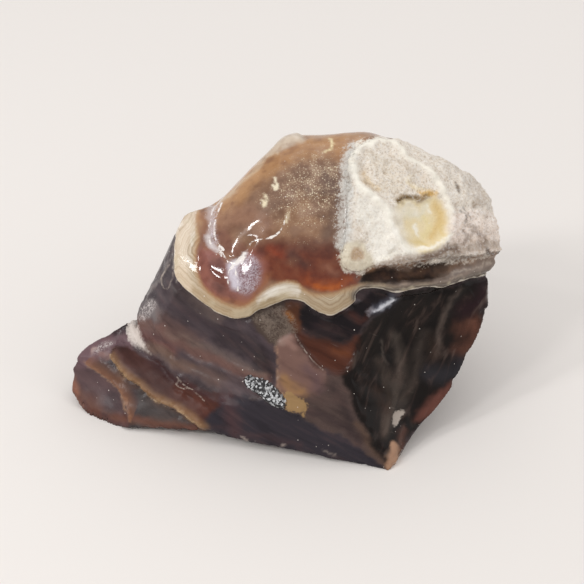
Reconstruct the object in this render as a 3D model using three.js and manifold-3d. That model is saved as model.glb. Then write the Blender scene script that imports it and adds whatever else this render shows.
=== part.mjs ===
// A hand specimen of brown banded calcite, as broken from a nodule: a dark conchoidal block with a low
// foot on its left, under a domed amber cap with a lobed rim, and a chalky crust on the cap's right end.
// It grew as one piece, so it is one closed solid. Millimetres, +Z up, +X to the specimen's right and
// +Y to its back; the origin is the centre of its bounding box, at the level of the flat it rests on.
import * as THREE from "three";
import { ConvexGeometry } from "three/addons/geometries/ConvexGeometry.js";
import { mergeVertices } from "three/addons/utils/BufferGeometryUtils.js";
import Module from "manifold-3d";

const wasm = await Module();
wasm.setup();

const V = (x, y, z) => new THREE.Vector3(x, y, z);

// ---- solids from three.js geometries ---------------------------------------------------------------

function solidOf(geometry) {
  const bare = new THREE.BufferGeometry()
    .setAttribute("position", geometry.getAttribute("position").clone());
  if (geometry.index) bare.setIndex(geometry.index.clone());
  const merged = mergeVertices(bare, 1e-4);
  return new wasm.Manifold(
    new wasm.Mesh({
      numProp: 3,
      vertProperties: new Float32Array(merged.attributes.position.array),
      triVerts: new Uint32Array(merged.index.array),
    }),
  );
}

const hull = (corners) => solidOf(new ConvexGeometry(corners.map((c) => V(...c))));

// ---- conchoidal scars ------------------------------------------------------------------------------
// A flake leaves a shallow dish. `at` is a point of the face before the flake came off, `facing` the
// face's outward direction, `reach` the dish's half-widths along `along` and across it, `depth` its depth.

const CLEAR = 6; // how far a scar's cutter stands out over the face
const RINGS = 5; // rings in a scar's dish
const SPOKES = 26; // and its spokes

function scar({ at, facing, along = [0, 0, 1], reach, depth }) {
  const [half, cross] = reach;
  const dishEdge = [...Array(RINGS + 1).keys()].map((i) => (half * i) / RINGS);
  const outer = half * Math.sqrt(1 + CLEAR / depth);
  const profile = [...dishEdge, (half + outer) / 2, outer]
    .map((r) => new THREE.Vector2(r, depth * ((r / half) ** 2 - 1)));
  profile.push(new THREE.Vector2(0, CLEAR));
  const dish = new THREE.LatheGeometry(profile, SPOKES);
  const out = V(...facing).normalize();
  const side = V(...along).cross(out).normalize();
  const up = out.clone().cross(side);
  dish.scale(cross / half, 1, 1);
  // the lathe turns about its own Y, so Y goes outwards, Z goes along and X goes across
  dish.applyMatrix4(new THREE.Matrix4().makeBasis(side.negate(), out, up));
  dish.translate(...at);
  return solidOf(dish);
}

// ---- strands ---------------------------------------------------------------------------------------
// A round bar along a line, narrowing to a point at both ends.

function strand({ line, radius, stations = 20, around = 10 }) {
  const path = new THREE.CatmullRomCurve3(line.map((p) => V(...p)));
  const frames = path.computeFrenetFrames(stations);
  const bar = new THREE.SphereGeometry(1, around, stations);
  const place = bar.getAttribute("position");
  for (let i = 0; i < place.count; i++) {
    const station = Math.floor(i / (around + 1));
    const p = path.getPointAt(station / stations);
    p.addScaledVector(frames.normals[station], radius * place.getX(i));
    p.addScaledVector(frames.binormals[station], radius * place.getZ(i));
    place.setXYZ(i, p.x, p.y, p.z);
  }
  return solidOf(bar);
}

// ---- the dark block --------------------------------------------------------------------------------

const trunk = hull([
  [18.2, -25.9, 0], // front tip, where the block comes closest
  [6.1, -23.1, 2],
  [-7.8, -20.1, 2],
  [-20.6, -14.8, 1.2],
  [0, -21.2, 10.8], // top of the lower front facet
  [-9.1, -18.5, 10.8],
  [-28, -5.3, 10],
  [-27.7, 0, 16],
  [-20.7, -0.7, 31],
  [-19.5, 2, 33.6],
  [-16.5, -9, 28],
  [-9, -12.2, 26],
  [6, -12, 27],
  [20, -9.5, 28],
  [36.6, -3, 26],
  [36.6, -4.5, 21.5],
  [34.4, -9, 16],
  [31.4, -12.6, 11],
  [28.9, -13.4, 7],
  [25.1, -16, 3],
  [20.7, -22, 0],
  [35, 9, 24],
  [24, 19, 25.5],
  [6, 25.6, 23],
  [-19.5, 6, 27],
  [-12, 15, 26.5],
  [30, 6, 8],
  [20.5, 6, 0],
  [5, 16, 0],
  [-12, 12, 0],
  [-20, 4, 0],
  [21, 18, 6],
  [8, 24.3, 7],
  [-14, 19, 6],
  [-24.5, 9, 4],
  [-26, 9, 14],
]);

const foot = hull([
  [-20, -9.1, 10],
  [-28, -5.3, 11],
  [-29.5, -1, 14.4],
  [-31.9, -1.9, 13],
  [-37.9, -3.2, 10],
  [-40.4, -6.4, 7.6],
  [-41.1, -10, 2.5],
  [-38.8, -12.8, 0],
  [-35.6, -14, 0],
  [-29.6, -13.4, 0],
  [-22.2, -16.2, 1.5],
  [-15.9, -17.5, 2],
  [-38, 0, 3],
  [-31, 7, 3],
  [-22, 9, 1],
  [-26, 8, 8],
]);

// the raised tongue that runs from the foot's top down to the front edge
const tongue = hull([
  [-32.5, -6.8, 10.4],
  [-29.8, -9.5, 8.3],
  [-25.9, -12.2, 7.2],
  [-22.7, -14.5, 6],
  [-19.1, -16.5, 5.3],
  [-15.9, -18.3, 4.2],
  [-31.4, -3.5, 12.3],
  [-27.9, -6.4, 11],
  [-16.3, -13.2, 9.2],
  [-9.2, -16.5, 8.7],
  [-9.7, -19.5, 2],
  [-14.5, -17.7, 1.8],
  [-28, -2, 6],
  [-14, -10, 2],
]);

const trunkScars = [
  // the broad front-left face
  { at: [-11.8, -14, 18.6], facing: [-0.48, -0.84, 0.26], along: [1, -0.5, -0.3], reach: [16.5, 9.8], depth: 2.3 },
  // the dark scoop under the right end
  { at: [21.6, -15.7, 15.2], facing: [0.38, -0.8, 0.46], along: [12, 20, 27], reach: [17, 16.5], depth: 3 },
  // flakes under the rim
  { at: [12.5, -14.4, 24], facing: [0.05, -0.7, 0.7], along: [1, 0.1, 0.25], reach: [10.5, 5.2], depth: 1.7 },
  { at: [7.4, -16.2, 19.8], facing: [0.12, -0.86, 0.46], along: [1, 0.2, -0.3], reach: [7, 4.8], depth: 1.2 },
  // the back
  { at: [-3, 21.2, 15], facing: [-0.35, 0.93, 0.06], along: [0, 0, 1], reach: [11, 11], depth: 2.4 },
  { at: [15, 22, 15], facing: [0.4, 0.91, -0.05], along: [0, 0, 1], reach: [11, 8], depth: 1.8 },
  { at: [28, 13, 16], facing: [0.78, 0.55, -0.3], along: [0, 0.3, 1], reach: [11, 8], depth: 1.8 },
  // the left side
  { at: [-19.6, 12.3, 15.5], facing: [-0.72, 0.66, 0.2], along: [0, 0.3, 1], reach: [10, 7], depth: 1.6 },
  { at: [-25.2, 4.5, 17], facing: [-0.87, 0.35, 0.33], along: [0.3, 0.1, 1], reach: [8, 4], depth: 1 },
];

const footScars = [
  { at: [-37.6, -9.8, 1.6], facing: [-0.35, -0.744, 0.55], along: [1, -0.4, 0], reach: [8.4, 7.6], depth: 1.2 },
  { at: [-34, 6, 5], facing: [-0.75, 0.5, 0.5], along: [1, 1, 0], reach: [8, 5], depth: 1.2 },
];

const cut = (solid, scars) => scars.reduce((rest, flake) => rest.subtract(scar(flake)), solid);

const block = cut(trunk, trunkScars).add(cut(foot, footScars)).add(tongue);

// ---- the domed cap ---------------------------------------------------------------------------------
// Ribs across the dome from its left end to its right: a point of the front edge, one of the crest and
// one of the back edge. The two ends are single points.

const LEFT_END = [-19.9, -4, 32.5];
const RIGHT_END = [39, 1.2, 29.3];
const RIBS = [
  [[-19.6, -7.8, 29.3], [-18.2, 1.2, 36.3], [-18.5, 3.5, 31]],
  [[-17, -10, 27.5], [-16.3, 2, 36.9], [-16.5, 6, 30]],
  [[-14.4, -11.4, 26], [-13.8, 2.5, 37.3], [-14, 8.5, 29]],
  [[-12, -12.7, 25], [-11.3, 3, 38.8], [-11.3, 11, 28.5]],
  [[-9.8, -13.5, 24.5], [-9, 3.8, 41], [-9, 13.5, 28.5]],
  [[-6.8, -13.5, 24.5], [-6.3, 5, 43.3], [-6, 16, 28.5]],
  [[-3.3, -12.9, 26.2], [-3.3, 6.2, 45.7], [-3, 18.5, 29]],
  [[0.6, -12.3, 27.5], [0.3, 7.5, 47.8], [0.5, 21, 29]],
  [[4.1, -12.7, 26.5], [4.1, 8, 48.4], [4.5, 22.8, 28.6]],
  [[7.9, -13.6, 25], [8, 8, 48.8], [8.5, 23.4, 28.4]],
  [[11.3, -12.4, 26.3], [11.5, 8, 49.2], [12, 23.4, 28.6]],
  [[13.6, -10.6, 28.2], [14.6, 8, 49.3], [15.5, 23, 28.6]],
  [[19.3, -10.2, 27.5], [19, 8, 47.3], [20, 21, 28.6]],
  [[24, -9.2, 27.2], [24.4, 7.7, 44.3], [25, 18, 28.6]],
  [[28.5, -7.6, 27], [28.5, 7.2, 42.4], [29, 15.5, 28.5]],
  [[32.6, -4.9, 26.6], [32, 6.5, 40.6], [32.5, 13, 28.5]],
  [[36, -2.2, 26.6], [35, 5.2, 38], [35.2, 10.5, 28.5]],
  [[37.9, -0.8, 27.4], [37.4, 3.2, 34.4], [37.6, 6, 28.5]],
];
const STATIONS = 60;
const AROUND = 38;
const FULLNESS = 1.7; // how far the dome bulges between its edge and its crest; 2 is a plain ellipse
const SINK = 5; // how far its underside goes down into the block

// swellings of the dome's top
const LUMPS = [
  { at: [-9.9, -11.5, 31.5], radius: 6, push: [-0.2, -1, 0.6] }, // the bulb over the rim's left lobe
  { at: [1.2, 11, 45.5], radius: 3, push: [0, 0.4, 0.9] }, // a pale lump behind the crest
  { at: [-7, 13, 34], radius: 5, push: [-0.5, 1.2, 0.4] },
  { at: [8, 21, 35], radius: 5, push: [0, 1.4, 0.5] },
  { at: [27, 15, 34], radius: 5, push: [0.5, 1, 0.4] },
];

const [frontEdge, crest, backEdge] = [0, 1, 2].map((k) => {
  const line = [LEFT_END, ...RIBS.map((rib) => rib[k]), RIGHT_END];
  return new THREE.CatmullRomCurve3(line.map((p) => V(...p)));
});

function layer(swell) {
  const grid = new THREE.SphereGeometry(1, AROUND, STATIONS);
  const place = grid.getAttribute("position");
  const power = 2 / FULLNESS;
  for (let i = 0; i < place.count; i++) {
    const along = Math.floor(i / (AROUND + 1)) / STATIONS;
    const turn = (2 * Math.PI * (i % (AROUND + 1))) / AROUND;
    const across = Math.cos(turn);
    const high = Math.sin(turn);
    const round = Math.sin(Math.PI * along);
    const [front, top, back] = [frontEdge, crest, backEdge].map((curve) => curve.getPoint(along));
    let p;
    if (high >= 0) {
      const edge = across > 0 ? front : back;
      p = top.clone().lerp(edge, Math.abs(across) ** power);
      p.z = edge.z + (top.z - edge.z) * high ** power;
      for (const { at, radius, push } of LUMPS) {
        const share = Math.exp(-((p.distanceTo(V(...at)) / radius) ** 2));
        p.addScaledVector(V(...push), share * Math.sqrt(high) * round);
      }
    } else {
      p = back.clone().lerp(front, (1 + across) / 2);
      p.z += SINK * high * round;
    }
    p.add(V(-Math.cos(Math.PI * along), -across * round, high * round).multiplyScalar(swell));
    place.setXYZ(i, p.x, p.y, p.z);
  }
  return solidOf(grid);
}

// ---- the chalky crust ------------------------------------------------------------------------------
// A thin layer over the dome's right part, inside a border drawn square to a line that leans over the
// front: `x` to the right, and up along the slope.

const CRUST = 0.9; // thickness
const LEAN = THREE.MathUtils.degToRad(35);
const CRUST_BORDER = [
  [13.3, 43.3],
  [12.7, 41.4],
  [11.3, 37.8],
  [10.4, 32.6],
  [10.3, 27.3],
  [9.4, 23],
  [10.3, 20.7],
  [13.1, 20.2],
  [14.7, 21.4],
  [21.3, 21.5],
  [27.6, 22.1],
  [32.7, 22.6],
  [39.1, 23.6],
  [46, 24],
  [46, 47],
  [22, 47],
  [19.5, 44.5],
  [16.5, 44.6],
];

function borderPrism(border) {
  const outline = new THREE.Shape(border.map(([x, up]) => new THREE.Vector2(x, up)));
  const prism = new THREE.ExtrudeGeometry(outline, { depth: 80, bevelEnabled: false });
  prism.translate(0, 0, -40);
  prism.rotateX(Math.PI / 2 - LEAN);
  return solidOf(prism);
}

const crust = layer(CRUST).intersect(borderPrism(CRUST_BORDER));

// the dark band that is set back between the rim and the crust
const band = strand({
  line: [
    [11, -11, 31],
    [16, -10.2, 31.6],
    [21, -9.9, 31.5],
    [26, -8.8, 31.2],
    [31, -6.8, 30.5],
    [36, -3.4, 28.8],
    [41, 1.5, 27.2],
  ],
  radius: 2,
});

const domeScars = [
  // the glassy hollow in the crust
  { at: [24.4, -4.4, 38.4], facing: [0.36, -0.64, 0.68], along: [-0.2, 1, 1], reach: [5.4, 4.6], depth: 0.9 },
  // the back of the dome
  { at: [12, 18, 40], facing: [0.15, 0.75, 0.66], along: [1, 0, 0], reach: [13, 9], depth: 1.4 },
];

const dome = cut(layer(0).add(crust), domeScars).subtract(band);
const specimen = block.add(dome);

// ---- the exported group ----------------------------------------------------------------------------

function geometryOf(solid) {
  const mesh = solid.getMesh();
  const places = new Float32Array(mesh.numVert * 3);
  for (let i = 0; i < mesh.numVert; i++) {
    places.set(mesh.vertProperties.subarray(i * mesh.numProp, i * mesh.numProp + 3), i * 3);
  }
  return new THREE.BufferGeometry()
    .setAttribute("position", new THREE.BufferAttribute(places, 3))
    .setIndex(new THREE.BufferAttribute(new Uint32Array(mesh.triVerts), 1));
}

const stone = new THREE.Mesh(
  geometryOf(specimen),
  new THREE.MeshStandardMaterial({ color: 0x3a2620, roughness: 0.25, metalness: 0 }),
);
stone.name = "calcite_specimen";

const group = new THREE.Group();
group.add(stone);
export default group;
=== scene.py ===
import math

import bmesh
import bpy
import numpy as np
from bpy.props import FloatProperty, FloatVectorProperty, PointerProperty
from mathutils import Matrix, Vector, kdtree, noise
from mathutils.bvhtree import BVHTree


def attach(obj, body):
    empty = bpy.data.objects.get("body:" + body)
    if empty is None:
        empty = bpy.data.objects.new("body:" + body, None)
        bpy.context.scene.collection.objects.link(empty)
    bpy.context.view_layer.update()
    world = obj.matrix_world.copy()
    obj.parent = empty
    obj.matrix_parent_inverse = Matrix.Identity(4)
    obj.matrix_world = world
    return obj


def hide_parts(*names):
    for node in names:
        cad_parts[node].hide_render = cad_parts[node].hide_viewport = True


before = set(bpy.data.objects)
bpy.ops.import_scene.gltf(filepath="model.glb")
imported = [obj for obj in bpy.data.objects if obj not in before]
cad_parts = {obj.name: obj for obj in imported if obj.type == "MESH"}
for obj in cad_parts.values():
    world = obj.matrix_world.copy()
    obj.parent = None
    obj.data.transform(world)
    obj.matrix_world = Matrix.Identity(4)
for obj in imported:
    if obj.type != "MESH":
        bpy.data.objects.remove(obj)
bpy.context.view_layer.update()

bl_info = {
    "name": "Calcite specimen",
    "version": (1, 0, 0),
    "blender": (4, 5, 0),
    "location": "View3D > Sidebar > Specimen",
    "description": "A hand specimen of dark banded stone with an amber cap and a chalky crust",
    "category": "Add Mesh",
}

MM = 0.001

# The front view: the eye looks down at the stone's front from 35 degrees above the floor. The stone's
# features are drawn in it, in units of which the view is 584 wide, right and down from its top left.
VIEW_WIDTH = 584.0
LENS = 85.0
SENSOR = 36.0
TILT = math.radians(35.0)
UNITS_PER_MM = 5.4
LOOK_AT = np.array([1.1, 0.0, 20.6]) * MM
FOCAL = VIEW_WIDTH * LENS / SENSOR
AHEAD = np.array([0.0, math.cos(TILT), -math.sin(TILT)])
RIGHT = np.array([1.0, 0.0, 0.0])
UP = np.array([0.0, math.sin(TILT), math.cos(TILT)])
EYE = LOOK_AT - AHEAD * (FOCAL / UNITS_PER_MM * MM)


def linear(hex_colour):
    """An sRGB hex value as linear red, green and blue."""
    channels = [int(hex_colour[i : i + 2], 16) / 255 for i in (1, 3, 5)]
    return tuple(c / 12.92 if c <= 0.04045 else ((c + 0.055) / 1.055) ** 2.4 for c in channels)


# ---- what is drawn on the stone ----------------------------------------------------------------------

# Lines and outlines in the front view. An outline closes on itself.
LINES = {
    "frost groove": "219,196 213,205 210,218 208,235 212,246 220,255 229,262 236,262 245,252 251,241",
    "frost groove twin": "222,203 217,215 214,230 217,242 224,250",
    "lint": "177,377 181,382 188,388 194,391 200,397 204,401",
    "lint loop": "180,380 176,384 181,388 189,389",
    "gold vein": "252,241 262,239 272,237 280,231 287,216",
    "star": "231,262 236,272 238,290",
    "star ray": "244,250 243,262 244,274",
    "star arm": "216,246 224,256 232,264 240,262 250,254",
    "star arm low": "232,266 228,276 230,286",
    "ridge left": "372,142 360,142 354,154 353,168 360,186 374,199 387,212 390,226 398,240 406,252",
    "ridge right": "362,142 376,139 394,146 406,161 426,174 440,190 449,207 451,226 447,240 430,249 408,255",
    "step right": "446,205 456,206 462,211 470,207 480,206 492,211",
    "wall top": "341,268 356,271 371,264 390,259 410,258 436,253 460,254 486,255 503,249",
    "tongue arris": "111,357 118,368 127,377 140,387 150,397 167,405 180,411 192,420 203,428",
    "foot arris": "86,362 94,369 102,374 112,381 119,388 124,398 128,410 130,423",
    "flake arris": "294,332 298,340 304,349 313,361 323,370",
    "facet ledge": "368,316 378,308 388,301 399,296",
    "scoop line": "465,284 457,293 450,303 444,314 440,325 437,345",
    "belly arris": "233,394 250,399 268,403 285,406 306,418 320,426 341,434 362,447 383,463",
    "under line": "172,282 184,298 200,311 216,321 232,327 246,329",
    "sliver line": "183,222 176,238 170,258 163,274 153,288 147,300",
    "border fuzz": "352,146 348,157 346,172 345,192 344,215 342,243",
    "sliver loop": "170,264 163,275 161,284 166,289 171,283 173,272",
}

OUTLINES = {
    "cap": "180,206 168,228 162,249 164,266 177,281 190,293 204,304 217,313 230,318 240,319 249,317 "
    "258,311 267,308 278,303 289,300 301,301 309,306 320,313 331,316 341,312 350,306 356,301 356,295 "
    "361,290 374,288 386,290 396,293 412,290 426,287 442,288 452,285 466,280 489,274 540,262 560,60 200,60 "
    "140,180",
    "amber": "202,205 199,213 198,224 200,238 197,253 198,268 203,283 214,295 229,303 243,305 253,299 "
    "264,289 275,283 286,280 298,282 306,289 317,293 334,292 345,288 354,285 362,283 380,283 400,286 "
    "420,283 442,282 466,275 489,268 540,255 560,60 180,60 185,190",
    "band": "361,279 366,272 376,267 400,265 425,263 446,261 470,258 500,256 498,262 474,265 456,269 "
    "446,277 430,281 400,283 380,282 368,284",
    "dark band": "361,281 367,273 377,268 400,265 425,263 440,261 458,259 448,269 433,278 415,282 400,283 "
    "380,282 368,284",
    "lens": "256,301 262,292 271,285 283,282 293,284 300,291 298,296 288,294 277,295 268,299 260,304",
    "bulb": "200,246 210,247 218,254 228,264 238,266 248,252 256,250 264,262 266,278 260,291 248,301 "
    "234,304 216,297 203,285 196,268",
    # lilac crystals on the bulb, with a painted reflection over them
    "sheen": "231,264 240,259 250,253 259,261 262,274 257,288 246,295 236,290 229,278",
    "groove bloom": "211,204 222,200 218,214 217,230 219,243 213,247 208,240 208,222",
    "pale lump": "254,165 268,156 279,149 291,144 304,139 298,126 278,128 258,146",
    "plateau": "356,166 358,152 366,144 380,142 394,149 405,163 424,176 432,188 424,196 404,199 394,205 "
    "384,201 370,191 359,180",
    "glassy": "394,208 406,201 420,200 432,196 442,204 447,216 449,232 446,243 436,249 424,254 414,250 "
    "408,240 400,232 403,220",
    "stain": "396,200 404,196 418,195 430,192 431,196 420,200 406,203 398,206",
    "chalk white": "356,200 368,196 386,209 392,222 404,240 407,252 382,258 368,250 372,236 362,222",
    "corner lobe": "338,262 341,250 350,243 362,244 370,254 372,266 362,272 350,270 341,268",
    "corner spot": "350,252 354,247 361,248 364,255 358,260 351,258",
    "pink block": "452,214 464,210 482,207 494,211 502,235 503,252 480,254 456,250 448,236",
    "front face": "126,345 133,322 146,290 160,268 174,262 192,297 220,317 243,323 260,334 273,352 277,371 "
    "276,388 240,389 200,379 163,362 140,356",
    "tongue": "111,357 116,347 127,347 138,355 158,364 176,376 197,386 235,395 246,410 236,434 203,428 "
    "192,420 180,411 167,405 150,397 140,387 127,377 118,368",
    "foot glow": "86,362 96,355 108,358 118,368 127,377 140,388 138,404 130,423 128,410 124,398 119,388 "
    "112,381 102,374 94,369",
    "foot cut": "130,423 138,404 140,388 150,397 167,405 180,411 203,428 180,440 130,436",
    "foot tip": "60,372 86,362 94,369 102,374 112,381 119,388 124,398 128,410 130,424 106,434 60,420",
    "back face": "97,338 127,323 134,310 138,322 126,338 112,346",
    "neck patch": "131,320 137,323 143,333 151,345 160,354 170,361 162,362 150,358 140,350 132,342 129,331",
    "sliver": "139,312 150,283 166,258 176,228 186,213 180,232 175,249 174,264 165,281 152,298",
    "frosted nook": "252,318 262,312 280,305 294,314 298,332 285,336 276,347 264,333",
    "amber chip": "283,308 300,305 305,320 299,333 291,322",
    "flake": "276,346 285,336 294,332 304,349 313,361 323,370 327,380 318,393 300,398 289,397 278,390 "
    "275,380 278,370",
    "rust flake": "296,332 316,337 345,341 360,336 353,360 342,373 323,370 313,361 303,348",
    "black facet": "302,305 320,315 331,318 342,314 352,306 362,297 378,290 398,295 392,311 374,317 "
    "358,336 342,342 318,337 303,330",
    "lower face": "277,389 300,398 323,378 344,376 352,400 362,420 385,466 362,447 341,434 320,426 300,414",
    # the first: white hair-like painted highlights on the foot's top; the second: pale frost on the front
    # face's upper left
    "foot frost": "93,352 99,345 107,341 115,342 111,346 103,350 97,354",
    "wall frost": "138,318 143,305 150,299 157,303 152,312 146,320",
    "druse": "244,380 249,375 258,377 266,380 275,387 282,394 287,402 283,409 274,406 264,400 255,392 "
    "247,387",
    "straw patch": "284,393 290,392 297,397 304,400 308,407 303,411 305,417 296,412 288,411 283,403",
    "belly": "203,428 236,396 285,406 306,418 341,434 383,463 376,480 320,460 240,446",
    "scoop": "386,466 362,420 344,380 344,368 360,338 384,310 398,296 440,289 492,280 500,300 485,335 "
    "460,380 435,410 404,445 398,470",
    "right lobe": "414,420 424,404 438,392 456,382 450,400 430,420",
    "white chip": "393,425 394,414 400,410 405,411 401,419 396,426",
    "tab": "384,470 386,453 390,443 395,440 399,447 399,458 397,470 390,475",
}

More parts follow.
